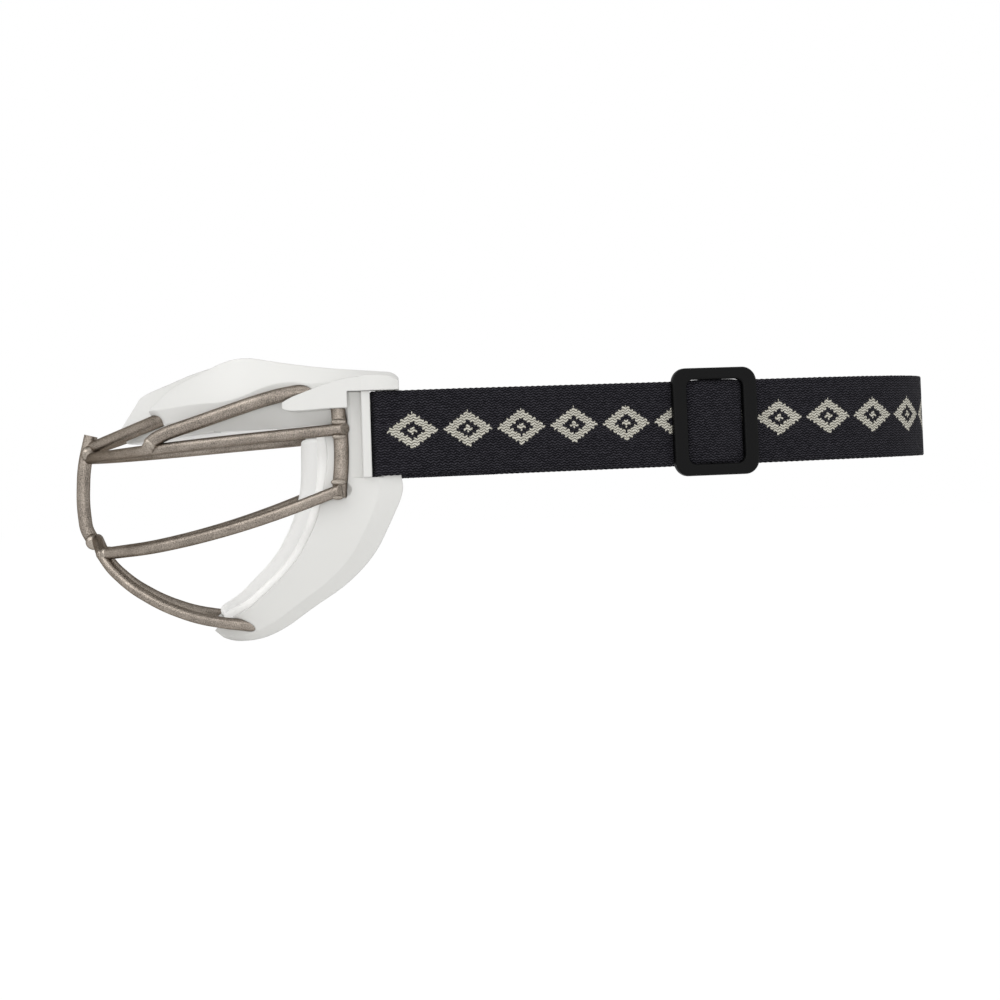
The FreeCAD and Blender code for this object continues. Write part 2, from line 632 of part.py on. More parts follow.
def turned_band(centre, edges_inner, edges_outer):
    """A closed plan outline that goes round the slot bar and on along its inner side."""
    inner_turn = Part.Arc(
        centre + Vector(INNER, 0, 0), centre - Vector(0, INNER, 0), centre - Vector(INNER, 0, 0))
    outer_turn = Part.Arc(
        centre + Vector(OUTER, 0, 0), centre - Vector(0, OUTER, 0), centre - Vector(OUTER, 0, 0))
    base = Part.LineSegment(centre + Vector(INNER, 0, 0), centre + Vector(OUTER, 0, 0))
    cap = Part.LineSegment(edges_inner[-1].EndPoint, edges_outer[-1].EndPoint)
    return edges_inner + edges_outer + [inner_turn, outer_turn, base, cap]


def mirrored_lines(geometry):
    """A plan outline on the other side of the mid plane."""
    lines = []
    for line in geometry:
        line.mirror(Vector(0, 0, 0), Vector(0, 1, 0))
        lines.append(line)
    return lines


def off_plane(distance):
    """A sketch plane moved along its own normal."""
    return FreeCAD.Placement(Vector(0, 0, distance), FreeCAD.Rotation())


def webbing(label, geometry, inset=0):
    """A plan outline as high as the webbing, less an inset at both edges."""
    body = doc.addObject("PartDesign::Body", label)
    body.Label = label
    sketch = add_sketch(body, label + "_plan", "XY_Plane", geometry, off_plane(strap_low + inset))
    sketch.setExpression("AttachmentOffset.Base.z", f"({strap_low_rule} + {inset}) * 1 mm")
    add_step(body, "PartDesign::Pad", label + "_pad", sketch, f"sizes.strap_height - 2 * {inset}")
    body.Placement = strap_tilt
    return body


lead_run = ("run", size("strap_lead"))
lead_turn = ("turn", size("strap_lead_radius"), toe_in)
straight_run = ("run", size("strap_straight"))
side_bend = ("turn", size("strap_side_radius"), side_turn - toe_in)
half_moves = [lead_run, lead_turn, straight_run, side_bend]
fold_place, fold_heading = walk(turn_centre, 0, half_moves, 0)[1:]
rear_radius = fold_place.x / math.cos(side_turn)
rear_fold = ("turn", rear_radius, math.pi - 2 * side_turn)

strap_web = webbing(
    "strap_web", band(turn_centre, 0, half_moves + [rear_fold] + half_moves[::-1], INNER, OUTER))

# The slide adjuster's own frame: x out of the webbing, y along it to the rear.
slide_origin, slide_heading = walk(turn_centre, 0, [lead_run, lead_turn, ("run", size("slide_place"))], 0)[1:]
slide_placement = strap_tilt.multiply(
    FreeCAD.Placement(slide_origin, FreeCAD.Rotation(Vector(0, 0, 1), math.degrees(slide_heading))))
middle_half = INNER - size("slide_gap") - size("strap_thickness") - size("loop_gap")
side_bar_foot = OUTER + size("slide_gap")
side_bar_face = side_bar_foot + size("slide_bar_thickness")
window_half_height = size("strap_height") / 2 + size("slot_end_gap")
window_half_length = size("slide_length") / 2 - size("slide_bar_width")
leg_rule = "sizes.cheek_wall + 2 * sizes.strap_slot_gap - sizes.loop_gap"
middle_bar_rule = "sizes.strap_height + 2 * sizes.slot_end_gap + sizes.slide_bar_thickness"


def build_strap_return():
    """The left end of the webbing: through the slot, round its bar and back under the slide adjuster."""
    moves = [lead_run, lead_turn, ("run", size("slide_place"))]
    inner = walk(turn_centre, 0, moves, -INNER)[0]
    outer = walk(turn_centre, 0, moves, -OUTER)[0]
    return webbing("strap_return", turned_band(turn_centre, inner, outer))


def tail_walk():
    """The right end of the webbing behind its slot: the line it follows until it lies on the outer layer."""
    inset = INNER + size("strap_thickness") / 2
    start = aside(turn_centre, 0, -inset)
    draw_in = math.radians(size("tail_angle"))
    shift = 2 * INNER - size("loop_gap")
    slant = (shift - 2 * size("tail_bend_radius") * (1 - math.cos(draw_in))) / math.sin(draw_in)
    moves = [
        lead_run, ("turn", size("strap_lead_radius") - inset, toe_in),
        ("turn", size("tail_bend_radius"), -draw_in), ("run", slant),
        ("turn", size("tail_bend_radius"), draw_in), ("run", size("tail_length"))]
    return start, moves


def build_strap_tail():
    """The right end of the webbing: through the slot, round its bar and sewn to the outer layer."""
    start, moves = tail_walk()
    half = size("strap_thickness") / 2
    inner = walk(start, 0, moves, half)[0]
    outer = walk(start, 0, moves, -half)[0]
    return webbing("strap_tail_right", mirrored_lines(turned_band(turn_centre, inner, outer)))


def build_bar_tacks():
    """Two rows of thread that hold the right end of the webbing to its outer layer."""
    start, moves = tail_walk()
    end_place, end_heading = walk(start, 0, moves, 0)[1:]
    tacks = []
    for share in TACK_SHARES:
        place = ahead(end_place, end_heading, -size("tail_length") * share)
        place = aside(place, end_heading, -size("strap_thickness") / 2 - size("tack_rise"))
        height = size("tack_height")
        tack = Part.makeBox(size("tack_rise"), size("tack_width"), height, Vector(0, 0, -height / 2))
        tack.Placement = strap_tilt.multiply(FreeCAD.Placement(
            place + Vector(0, 0, strap_middle),
            FreeCAD.Rotation(Vector(0, 0, 1), math.degrees(end_heading))))
        tacks.append(mirrored(tack))
    return add_feature("bar_tacks_right", Part.makeCompound(tacks))


def rounded_rectangle(half_length, half_height, radius, middle):
    """A rectangle with round corners on a sketch, centred across and at a height."""
    lines = []
    for sign_x, sign_y in ((1, 1), (-1, 1), (-1, -1), (1, -1)):
        centre = Vector(sign_x * (half_length - radius), middle + sign_y * (half_height - radius), 0)
        side = Vector(sign_x * radius, 0, 0)
        top = Vector(0, sign_y * radius, 0)
        diagonal = (side + top) / math.sqrt(2)
        lines.append(Part.Arc(centre + side, centre + diagonal, centre + top))
    right_low = middle - half_height + radius
    right_high = middle + half_height - radius
    left_x = -half_length
    run = half_length - radius
    lines.append(Part.LineSegment(Vector(half_length, right_low, 0), Vector(half_length, right_high, 0)))
    lines.append(Part.LineSegment(Vector(left_x, right_low, 0), Vector(left_x, right_high, 0)))
    top_up = middle + half_height
    low_up = middle - half_height
    lines.append(Part.LineSegment(Vector(-run, top_up, 0), Vector(run, top_up, 0)))
    lines.append(Part.LineSegment(Vector(-run, low_up, 0), Vector(run, low_up, 0)))
    return lines


def leg_outline(sign):
    """A rail's leg on the slide adjuster's upright sketch plane."""
    half = size("slide_leg_length") / 2
    near = strap_middle + sign * window_half_height
    far = strap_middle + sign * (size("slide_height") / 2 - size("slide_edge_radius"))
    corners = [Vector(-half, near, 0), Vector(half, near, 0), Vector(half, far, 0), Vector(-half, far, 0)]
    return closed_lines(corners)


def on_face(vertex):
    """Whether a corner of the slide adjuster lies on its outer face."""
    return vertex.X > side_bar_face - size("loop_gap")


def build_slide_adjuster():
    """The slide adjuster: a rounded frame over the webbing, with two legs to a middle bar under it."""
    body = doc.addObject("PartDesign::Body", "slide_adjuster")
    body.Label = "slide_adjuster"
    plate = add_sketch(
        body, "slide_outline", "YZ_Plane",
        rounded_rectangle(
            size("slide_length") / 2, size("slide_height") / 2, size("slide_corner_radius"), strap_middle),
        off_plane(side_bar_foot))
    add_step(body, "PartDesign::Pad", "slide_plate", plate, "sizes.slide_bar_thickness")
    window = add_sketch(
        body, "slide_window", "YZ_Plane",
        rounded_rectangle(
            window_half_length, window_half_height, size("slide_window_radius"), strap_middle),
        off_plane(side_bar_face))
    add_step(body, "PartDesign::Pocket", "slide_opening", window, "sizes.slide_bar_thickness")
    legs = add_sketch(
        body, "slide_legs", "YZ_Plane", leg_outline(1) + leg_outline(-1), off_plane(-middle_half))
    add_step(body, "PartDesign::Pad", "slide_leg_pair", legs, leg_rule)
    end = size("slide_middle_width") / 2 - middle_half
    bar_low = strap_middle - window_half_height - size("slide_bar_thickness") / 2
    bar = add_sketch(
        body, "slide_middle", "XY_Plane",
        [
            Part.LineSegment(Vector(middle_half, -end, 0), Vector(middle_half, end, 0)),
            Part.LineSegment(Vector(-middle_half, -end, 0), Vector(-middle_half, end, 0)),
            Part.Arc(
                Vector(middle_half, end, 0), Vector(0, end + middle_half, 0),
                Vector(-middle_half, end, 0)),
            Part.Arc(
                Vector(middle_half, -end, 0), Vector(0, -end - middle_half, 0),
                Vector(-middle_half, -end, 0))],
        off_plane(bar_low))
    add_step(body, "PartDesign::Pad", "slide_middle_bar", bar, middle_bar_rule)
    doc.recompute()
    unrounded = body.Tip
    rims = [
        f"Edge{number}" for number, edge in enumerate(unrounded.Shape.Edges, start=1)
        if all(on_face(vertex) for vertex in edge.Vertexes)]
    fillet = body.newObject("PartDesign::Fillet", "slide_rims")
    fillet.Base = (unrounded, rims)
    fillet.Radius = size("slide_edge_radius")
    body.Placement = slide_placement
    return body


def build_strap_loop():
    """The webbing's left end, looped over the middle bar and lying back along itself."""
    reach = middle_half + size("loop_gap") + size("strap_thickness") / 2
    end = size("slide_middle_width") / 2 - middle_half
    start = Vector(-reach, end - size("loop_length"), 0)
    moves = [("run", size("loop_length")), ("turn", reach, -math.pi), ("run", 2 * end)]
    half = size("strap_thickness") / 2
    body = webbing("strap_end_loop", band(start, 0, moves, -half, half))
    body.Placement = slide_placement
    return body


def build_strap_crown():
    """The webbing where it swells over the middle bar, seen through the slide adjuster's window."""
    foot = side_bar_foot
    half = window_half_length - size("crown_inset")
    end = foot + size("crown_end")
    lines = [
        Part.LineSegment(Vector(foot, -half, 0), Vector(foot, half, 0)),
        Part.LineSegment(Vector(foot, half, 0), Vector(end, half, 0)),
        Part.LineSegment(Vector(foot, -half, 0), Vector(end, -half, 0)),
        Part.Arc(Vector(end, -half, 0), Vector(end + size("crown_rise"), 0, 0), Vector(end, half, 0))]
    body = webbing("strap_crown", lines, size("crown_inset"))
    body.Placement = slide_placement
    return body


strap_return = build_strap_return()
strap_tail = build_strap_tail()
bar_tacks = build_bar_tacks()
slide_adjuster = build_slide_adjuster()
strap_loop = build_strap_loop()
strap_crown = build_strap_crown()
doc.recompute()


def sub_parts():
    """Every object that stands for a piece of the goggles."""
    kinds = ("Part::Feature", "PartDesign::Body")
    return [thing for thing in doc.Objects if thing.TypeId in kinds]


def check_document():
    """Stop if any object failed or any piece has no valid solid."""
    for thing in doc.Objects:
        if "Invalid" in thing.State or "Error" in thing.State:
            raise RuntimeError(f"{thing.Label} failed: {thing.State}")
    for piece in sub_parts():
        if piece.Shape.isNull() or not piece.Shape.isValid() or not piece.Shape.Solids:
            raise RuntimeError(f"{piece.Label} has no valid shape")


check_document()
os.makedirs("parts", exist_ok=True)
for piece in sub_parts():
    piece.Shape.exportStep(f"parts/{piece.Label}.step")
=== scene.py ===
"""Lacrosse goggles on a plain pale floor, seen from the wearer's left."""
import json
import math
import bpy
from mathutils import Matrix, Quaternion, Vector, noise


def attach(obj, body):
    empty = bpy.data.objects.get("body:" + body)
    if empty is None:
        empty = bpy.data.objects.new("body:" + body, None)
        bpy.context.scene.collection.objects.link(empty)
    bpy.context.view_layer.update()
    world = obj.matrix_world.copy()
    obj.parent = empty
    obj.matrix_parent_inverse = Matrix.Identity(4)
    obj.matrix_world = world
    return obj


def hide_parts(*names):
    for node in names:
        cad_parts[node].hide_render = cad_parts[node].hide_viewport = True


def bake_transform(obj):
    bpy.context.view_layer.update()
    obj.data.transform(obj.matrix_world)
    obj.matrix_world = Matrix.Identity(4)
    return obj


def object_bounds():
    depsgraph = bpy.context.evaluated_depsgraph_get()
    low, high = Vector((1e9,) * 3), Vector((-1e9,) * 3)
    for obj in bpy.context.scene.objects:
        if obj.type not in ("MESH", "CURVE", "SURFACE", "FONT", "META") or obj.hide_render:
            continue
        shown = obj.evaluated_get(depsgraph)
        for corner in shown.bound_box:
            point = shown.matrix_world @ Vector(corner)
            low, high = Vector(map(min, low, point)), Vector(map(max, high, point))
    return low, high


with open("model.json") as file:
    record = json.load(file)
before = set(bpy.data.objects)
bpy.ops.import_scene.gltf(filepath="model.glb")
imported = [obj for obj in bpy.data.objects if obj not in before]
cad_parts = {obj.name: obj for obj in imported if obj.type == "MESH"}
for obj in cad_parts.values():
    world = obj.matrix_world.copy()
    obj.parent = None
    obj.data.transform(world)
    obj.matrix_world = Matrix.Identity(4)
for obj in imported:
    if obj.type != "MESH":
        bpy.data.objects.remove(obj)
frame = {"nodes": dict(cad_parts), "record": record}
cad_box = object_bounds()
MM = 0.001

# The camera: the point it looks at in millimetres, its distance in metres, its turns in degrees.
CAMERA_AIM = (0, 97.24, -9.48)
CAMERA_DISTANCE = 1.1
CAMERA_YAW = 5.5
CAMERA_ROLL = 1.84
LENS = 123.4
SENSOR_WIDTH = 36
NEAREST = 0.05
FURTHEST = 50


def make_camera():
    """The photograph's own viewpoint: the wearer's left, a little from the front, and slightly rolled."""
    yaw = math.radians(CAMERA_YAW)
    roll = Quaternion((0, 0, 1), -math.radians(CAMERA_ROLL))
    aim = Vector(CAMERA_AIM) * MM
    back = Vector((math.cos(yaw), -math.sin(yaw), 0))
    data = bpy.data.cameras.new("camera")
    data.lens = LENS
    data.sensor_width = SENSOR_WIDTH
    data.clip_start = NEAREST
    data.clip_end = FURTHEST
    camera = bpy.data.objects.new("camera", data)
    bpy.context.scene.collection.objects.link(camera)
    camera.location = aim + back * CAMERA_DISTANCE
    camera.rotation_mode = "QUATERNION"
    camera.rotation_quaternion = (-back).to_track_quat("-Z", "Y") @ roll
    bpy.context.scene.camera = camera


make_camera()

# The places of a colour mix's factor, two colours and result among its sockets.
MIX_FACTOR, MIX_FIRST, MIX_SECOND, MIX_RESULT = 0, 6, 7, 2


class Nodes:
    """Short calls for building one node tree."""

    def __init__(self, tree):
        self.tree = tree
        tree.nodes.clear()

    def add(self, kind, inputs=None, **settings):
        node = self.tree.nodes.new(kind)
        for key, value in settings.items():
            setattr(node, key, value)
        for key, value in (inputs or {}).items():
            self.feed(node, key, value)
        return node

    def feed(self, node, key, value):
        """A socket gets a link from a socket or from a node's first output, or else a plain value."""
        socket = node.inputs[key]
        if isinstance(value, bpy.types.NodeSocket):
            self.tree.links.new(value, socket)
        elif isinstance(value, bpy.types.Node):
            self.tree.links.new(value.outputs[0], socket)
        else:
            socket.default_value = value

    def math(self, operation, *values, clamp=False):
        node = self.add("ShaderNodeMath", operation=operation, use_clamp=clamp)
        for index, value in enumerate(values):
            self.feed(node, index, value)
        return node

    def plus(self, first, second):
        return self.math("ADD", first, second)

    def times(self, first, second):
        return self.math("MULTIPLY", first, second)

    def at_least(self, least, value):
        """A value from 0 to 1, squeezed into the part from the least one up to 1."""
        return self.plus(least, self.times(value, 1 - least))

    def spread(self, value, low, high, new_low, new_high):
        """A value carried from one range over to another."""
        return self.add("ShaderNodeMapRange", dict(enumerate((value, low, high, new_low, new_high))))

    def ramp(self, factor, stops):
        """The colour at a factor, between stops of a position and a colour."""
        node = self.add("ShaderNodeValToRGB")
        elements = node.color_ramp.elements
        while len(elements) > 1:
            elements.remove(elements[-1])
        elements[0].position = stops[0][0]
        elements[0].color = stops[0][1]
        for position, colour in stops[1:]:
            elements.new(position).color = colour
        self.feed(node, 0, factor)
        return node

    def mix(self, factor, first, second):
        """The first colour where the factor is 0, the second where it is 1."""
        node = self.add("ShaderNodeMix", data_type="RGBA")
        self.feed(node, MIX_FACTOR, factor)
        self.feed(node, MIX_FIRST, first)
        self.feed(node, MIX_SECOND, second)
        return node.outputs[MIX_RESULT]

    def noise(self, vector, scale, detail=3.0, roughness=0.55):
        return self.add("ShaderNodeTexNoise", {
            "Vector": vector, "Scale": scale, "Detail": detail, "Roughness": roughness}).outputs[0]


def rgb(*values):
    return (*values, 1.0)


def material(name):
    """A new material and the calls that build its nodes."""
    made = bpy.data.materials.new(name)
    made.use_nodes = True
    return made, Nodes(made.node_tree)


def close_material(nodes, shader):
    output = nodes.add("ShaderNodeOutputMaterial")
    nodes.tree.links.new(shader.outputs[0], output.inputs[0])


# How far the grain's values reach, in the metal and in the plastic.
GRAIN_RANGE = (0.3, 0.7)
# The metal: its grain's and clouds' scales, in repeats per metre, and each one's share of the tone.
GRAIN_SCALE = 3000.0
CLOUD_SCALE = 140.0
GRAIN_SHARE = 0.8
CLOUD_SHARE = 0.2
# The tones at which it is all dark and all light, its smoothest and roughest, and the metal's edge tint,
# set dark so that it paints shade along the rims.
ALL_DARK = 0.36
ALL_LIGHT = 0.64
METAL_ROUGHNESS = (0.26, 0.44)
PAINTED_RIM_SHADE = (0.3, 0.27, 0.24)
# The grain's depth and the rounding of the edges, in metres.
GRAIN_DEPTH = 0.00012
WIRE_EDGE = 0.0003


def titanium(name, dark, light, grain_strength):
    """Bead-blasted titanium: fine grain that glints, with broad cloudy tone and a rim darkened by painted
    shade.
    """
    made, n = material(name)
    place = n.add("ShaderNodeTexCoord").outputs["Object"]
    grain = n.noise(place, GRAIN_SCALE, detail=4.0, roughness=0.7)
    cloud = n.noise(place, CLOUD_SCALE, detail=2.0)
    tone = n.plus(n.times(grain, GRAIN_SHARE), n.times(cloud, CLOUD_SHARE))
    colour = n.ramp(tone, ((ALL_DARK, rgb(*dark)), (ALL_LIGHT, rgb(*light))))
    rough = n.spread(grain, *GRAIN_RANGE, *METAL_ROUGHNESS)
    edge = n.add("ShaderNodeBevel", {"Radius": WIRE_EDGE}, samples=4)
    bump = n.add("ShaderNodeBump", {
        "Height": grain, "Strength": grain_strength, "Distance": GRAIN_DEPTH, "Normal": edge})
    close_material(n, n.add("ShaderNodeBsdfPrincipled", {
        "Base Color": colour, "Metallic": 1.0, "Roughness": rough,
        # The edge tint is set dark, so it paints shade along the rims of the wires and welds.
        "Specular Tint": rgb(*PAINTED_RIM_SHADE), "Normal": bump}))
    return made


# The unevenness of moulded plastic: its scale, in repeats per metre, and how strongly it shows.
MOULD_SCALE = 38.0
MOULD_CONTRAST = 0.8
# How much smoother and rougher than its usual roughness the plastic gets, and how strong its texture is.
SMOOTHER = 0.05
ROUGHER = 0.07
TEXTURE_STRENGTH = 0.35


def moulded(name, colour, shade, roughness, texture, depth, rounding, gloss):
    """Moulded plastic: fine texture of a given scale and depth, and a slight unevenness."""
    made, n = material(name)
    place = n.add("ShaderNodeTexCoord").outputs["Object"]
    grain = n.noise(place, texture, detail=3.0, roughness=0.6)
    broad = n.noise(place, MOULD_SCALE, detail=2.0)
    tint = n.mix(n.math("MULTIPLY", broad, MOULD_CONTRAST, clamp=True), rgb(*shade), rgb(*colour))
    rough = n.spread(grain, *GRAIN_RANGE, roughness - SMOOTHER, roughness + ROUGHER)
    edge = n.add("ShaderNodeBevel", {"Radius": rounding}, samples=6)
    bump = n.add("ShaderNodeBump", {
        "Height": grain, "Strength": TEXTURE_STRENGTH, "Distance": depth, "Normal": edge})
    close_material(n, n.add("ShaderNodeBsdfPrincipled", {
        "Base Color": tint, "Roughness": rough, "Specular IOR Level": gloss, "Normal": bump}))
    return made


# The knit, in millimetres: its stitches and rows, and the band of motifs.
STITCH_LENGTH = 1.8
ROW_HEIGHT = 0.78
MOTIF_PITCH = 17.0
MOTIF_MIDDLE = 13.4
MOTIF_HALF_LENGTH = 7.8
MOTIF_HALF_HEIGHT = 5.4
# How far the rows zigzag and wander, in rows, and how quickly they wander.
ZIGZAG = 0.62
WANDER = 0.9
WANDER_SCALE = 0.6
# The least that the yarn stands out between two strands, and the thinnest stitch, as shares.
STRAND_LEAST = 0.62
THINNEST = 0.72
# The fuzz on the yarn, its share of the height, and the shares of relief and fuzz in the tone: the relief's
# share is painted shade between the stitches and painted highlight on their tops, and the fuzz's share is
# random tone.
FUZZ_SCALE = 3.2
FUZZ_HEIGHT = 0.6
RELIEF_PAINTED_SHADE = 0.85
FUZZ_TONE = 0.55
# The shares of a motif that its hollow and the dot in it take up.
HOLLOW_SHARE = 0.5
DOT_SHARE = 0.2
# How far the yarn stands out, in metres, and its tones from between the stitches up to their tops, which
# paint shade between the stitches and a highlight on their tops.
YARN_DEPTH = 0.0005
DARK_YARN_PAINTED_SHADING = (
    (0.3, rgb(0.0012, 0.0012, 0.002)), (0.62, rgb(0.009, 0.0086, 0.0118)), (0.95, rgb(0.048, 0.046, 0.056)))
LIGHT_YARN_PAINTED_SHADING = (
    (0.25, rgb(0.06, 0.056, 0.045)), (0.6, rgb(0.45, 0.43, 0.36)), (0.9, rgb(0.74, 0.72, 0.64)))


def knit_rows(n, place, along, up):
    """The row that each place lies in, with the place's height in it as the part behind the point."""
    zigzag = n.math("PINGPONG", n.math("DIVIDE", along, STITCH_LENGTH / 2), 1.0)
    wobble = n.noise(place, WANDER_SCALE, detail=2.0)
    rise = n.plus(n.times(zigzag, ZIGZAG), n.times(wobble, WANDER))
    return n.plus(n.math("DIVIDE", up, ROW_HEIGHT), rise)


def knit_relief(n, along, row, row_number):
    """How far the yarn stands out: rounded stitches, each a little fuller or thinner than the next."""
    across = n.math("ABSOLUTE", n.math("SUBTRACT", n.times(n.math("FRACT", row), 2.0), 1.0))
    thread = n.math("SUBTRACT", 1.0, n.times(across, across))
    staggered = n.plus(n.math("DIVIDE", along, STITCH_LENGTH / 4), row_number)
    strand = n.math("PINGPONG", staggered, 1.0)
    column = n.math("FLOOR", n.math("DIVIDE", along, STITCH_LENGTH / 2))
    cell = n.add("ShaderNodeCombineXYZ", {0: column, 1: row_number})
    chance = n.add("ShaderNodeTexWhiteNoise", {0: cell}, noise_dimensions="2D")
    fullness = n.at_least(THINNEST, chance)
    rounded = n.times(n.at_least(STRAND_LEAST, strand), fullness)
    return n.times(thread, rounded)


def knit_motif(n, along, row_number):
    """1 on the light yarn: hollow diamonds in a line, each with a dot in its middle."""
    level = n.times(row_number, ROW_HEIGHT)
    from_middle = n.math("ABSOLUTE", n.math("SUBTRACT", level, MOTIF_MIDDLE))
    off = n.math("DIVIDE", from_middle, MOTIF_HALF_HEIGHT)
    near = n.math("PINGPONG", n.plus(along, MOTIF_PITCH / 2), MOTIF_PITCH / 2)
    ring = n.plus(n.math("DIVIDE", near, MOTIF_HALF_LENGTH), off)
    outline = n.times(n.math("GREATER_THAN", ring, HOLLOW_SHARE), n.math("LESS_THAN", ring, 1.0))
    return n.math("MAXIMUM", outline, n.math("LESS_THAN", ring, DOT_SHARE))


def knitted(name, patterned):
    """Knitted elastic: rows of zigzag stitches, with a light geometric band where it is patterned, and
    painted shade between the stitches and painted highlight on their tops.
    """
    made, n = material(name)
    place = n.add("ShaderNodeUVMap", uv_map="UVMap")
    split = n.add("ShaderNodeSeparateXYZ", {0: place})
    along, up = split.outputs[0], split.outputs[1]
    row = knit_rows(n, place, along, up)
    row_number = n.math("FLOOR", row)
    relief = knit_relief(n, along, row, row_number)
    fuzz = n.noise(place, FUZZ_SCALE, detail=4.0, roughness=0.7)
    height = n.plus(relief, n.times(fuzz, FUZZ_HEIGHT))
    # The tone: painted shade between the stitches and painted highlight on their tops come from the relief,
    # and random tone comes from the fuzz.
    shade = n.plus(n.times(relief, RELIEF_PAINTED_SHADE), n.times(fuzz, FUZZ_TONE))
    colour = n.ramp(shade, DARK_YARN_PAINTED_SHADING).outputs[0]
    if patterned:
        light = n.ramp(shade, LIGHT_YARN_PAINTED_SHADING).outputs[0]
        colour = n.mix(knit_motif(n, along, row_number), colour, light)
    bump = n.add("ShaderNodeBump", {"Height": height, "Strength": 1.0, "Distance": YARN_DEPTH})
    close_material(n, n.add("ShaderNodeBsdfPrincipled", {
        "Base Color": colour, "Roughness": 0.8, "Sheen Weight": 0.02, "Sheen Roughness": 0.5,
        "Specular IOR Level": 0.04, "Normal": bump}))
    return made


# The foam's cells and clouds, in repeats per metre, and the cells' depth, in metres.
CELL_SCALE = 1500.0
FOAM_CLOUD_SCALE = 60.0
CELL_DEPTH = 0.00015


def foam(name):
    """Closed-cell foam with a soft skin."""
    made, n = material(name)
    place = n.add("ShaderNodeTexCoord").outputs["Object"]
    cells = n.add("ShaderNodeTexVoronoi", {"Vector": place, "Scale": CELL_SCALE})
    broad = n.noise(place, FOAM_CLOUD_SCALE)
    tint = n.mix(broad, rgb(0.91, 0.905, 0.885), rgb(0.95, 0.945, 0.925))
    bump = n.add("ShaderNodeBump", {"Height": cells, "Strength": 0.3, "Distance": CELL_DEPTH})
    close_material(n, n.add("ShaderNodeBsdfPrincipled", {
        "Base Color": tint, "Roughness": 0.7, "Sheen Weight": 0.15, "Normal": bump}))
    return made


wire_metal = titanium(
    "wire_titanium", dark=(0.1, 0.086, 0.073), light=(0.47, 0.41, 0.352), grain_strength=0.7)
weld_metal = titanium(
    "weld_titanium", dark=(0.18, 0.157, 0.133), light=(0.5, 0.445, 0.385), grain_strength=0.4)
shell_plastic = moulded(
    "shell_white", colour=(0.71, 0.707, 0.686), shade=(0.675, 0.672, 0.65),
    roughness=0.38, texture=1500.0, depth=0.00003, rounding=0.0006, gloss=0.4)
slide_plastic = moulded(
    "slide_black", colour=(0.003, 0.003, 0.0032), shade=(0.002, 0.002, 0.0022),
    roughness=0.46, texture=1800.0, depth=0.00006, rounding=0.0002, gloss=0.12)
strap_knit = knitted("strap_knit", patterned=True)
plain_knit = knitted("plain_knit", patterned=False)
tack_thread = moulded(
    "tack_thread", colour=(0.02, 0.02, 0.026), shade=(0.012, 0.012, 0.016),
    roughness=0.7, texture=4000.0, depth=0.0001, rounding=0.00005, gloss=0.2)
pad_foam = foam("pad_foam")

SLOT_MATERIALS = {
    "titanium_wire": wire_metal, "weld_metal": weld_metal, "shell_plastic": shell_plastic,
    "slide_plastic": slide_plastic, "strap_webbing": plain_knit, "tack_thread": tack_thread,
    "pad_foam": pad_foam}


def dress_nodes():
    """Every modelled piece gets the material of its slot."""
    slots = {part["node"]: part["material_slot"] for part in frame["record"]["subparts"]}
    for name, node in frame["nodes"].items():
        for index in range(len(node.material_slots)):
            node.material_slots[index].material = SLOT_MATERIALS[slots[name]]


def add_piece(name, vertices, faces, look, body, uvs=None):
    """A mesh object of the goggles, riding on a body, or on none yet."""
    mesh = bpy.data.meshes.new(name)
    mesh.from_pydata([tuple(vertex) for vertex in vertices], [], faces)
    if uvs is not None:
        layer = mesh.uv_layers.new(name="UVMap")
        for loop in mesh.loops:
            layer.data[loop.index].uv = uvs[loop.vertex_index]
    for polygon in mesh.polygons:
        polygon.use_smooth = True
    mesh.materials.append(look)
    mesh.update()
    piece = bpy.data.objects.new(name, mesh)
    bpy.context.scene.collection.objects.link(piece)
    if body is not None:
        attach(piece, body)
    return piece


def ring_mesh(rings):
    """Vertices and faces through closed rings of the same count, capped at both ends."""
    count = len(rings[0])
    vertices = [point for ring in rings for point in ring]
    faces = []
    for index in range(len(rings) - 1):
        low = index * count
        high = low + count
        for step in range(count):
            after = (step + 1) % count
            faces.append((low + step, low + after, high + after, high + step))
    faces.append(tuple(reversed(range(count))))
    faces.append(tuple(range(len(vertices) - count, len(vertices))))
    return vertices, faces


# The webbing's own size and the height of its middle, in millimetres.
STRAP_HEIGHT = 25.4
STRAP_THICKNESS = 1.2
STRAP_MIDDLE = 11.438
STRAP_RISE = math.radians(0.6)
# The left slot bar's centre, and how near and far the webbing's two faces pass it.
TURN_CENTRE = Vector((73.532, 55.81, 0))
INNER = 2.35
OUTER = 3.55
web_offset = (INNER + OUTER) / 2
# The strap's plan line: a short lead, a turn inwards, the straight part and the side's turn.
LEAD = 7.0
LEAD_RADIUS = 60.0
TOE_IN = math.radians(14.5)
STRAIGHT = 113.7
SIDE_RADIUS = 85.0
SIDE_TURN = math.radians(35.0)
# How far along the straight part the slide adjuster's middle is, and the spacing of the stations.
SLIDE_PLACE = 82.6
STEP = 0.45


def on_strap(place, up):
    """A plan place and a height over the webbing's middle, on the strap as it rises to the rear."""
    pivot = Vector((0, TURN_CENTRE.y, STRAP_MIDDLE))
    level = Vector((place.x, place.y, STRAP_MIDDLE + up))
    return (pivot + Matrix.Rotation(STRAP_RISE, 3, "X") @ (level - pivot)) * MM


def ahead(place, heading, distance):
    """The place some way on along a heading, which is 0 towards the rear."""
    return place + Vector((-math.sin(heading), math.cos(heading), 0)) * distance


def aside(place, heading, offset):
    """The place some way to the outer side of a heading."""
    return place + Vector((math.cos(heading), math.sin(heading), 0)) * offset


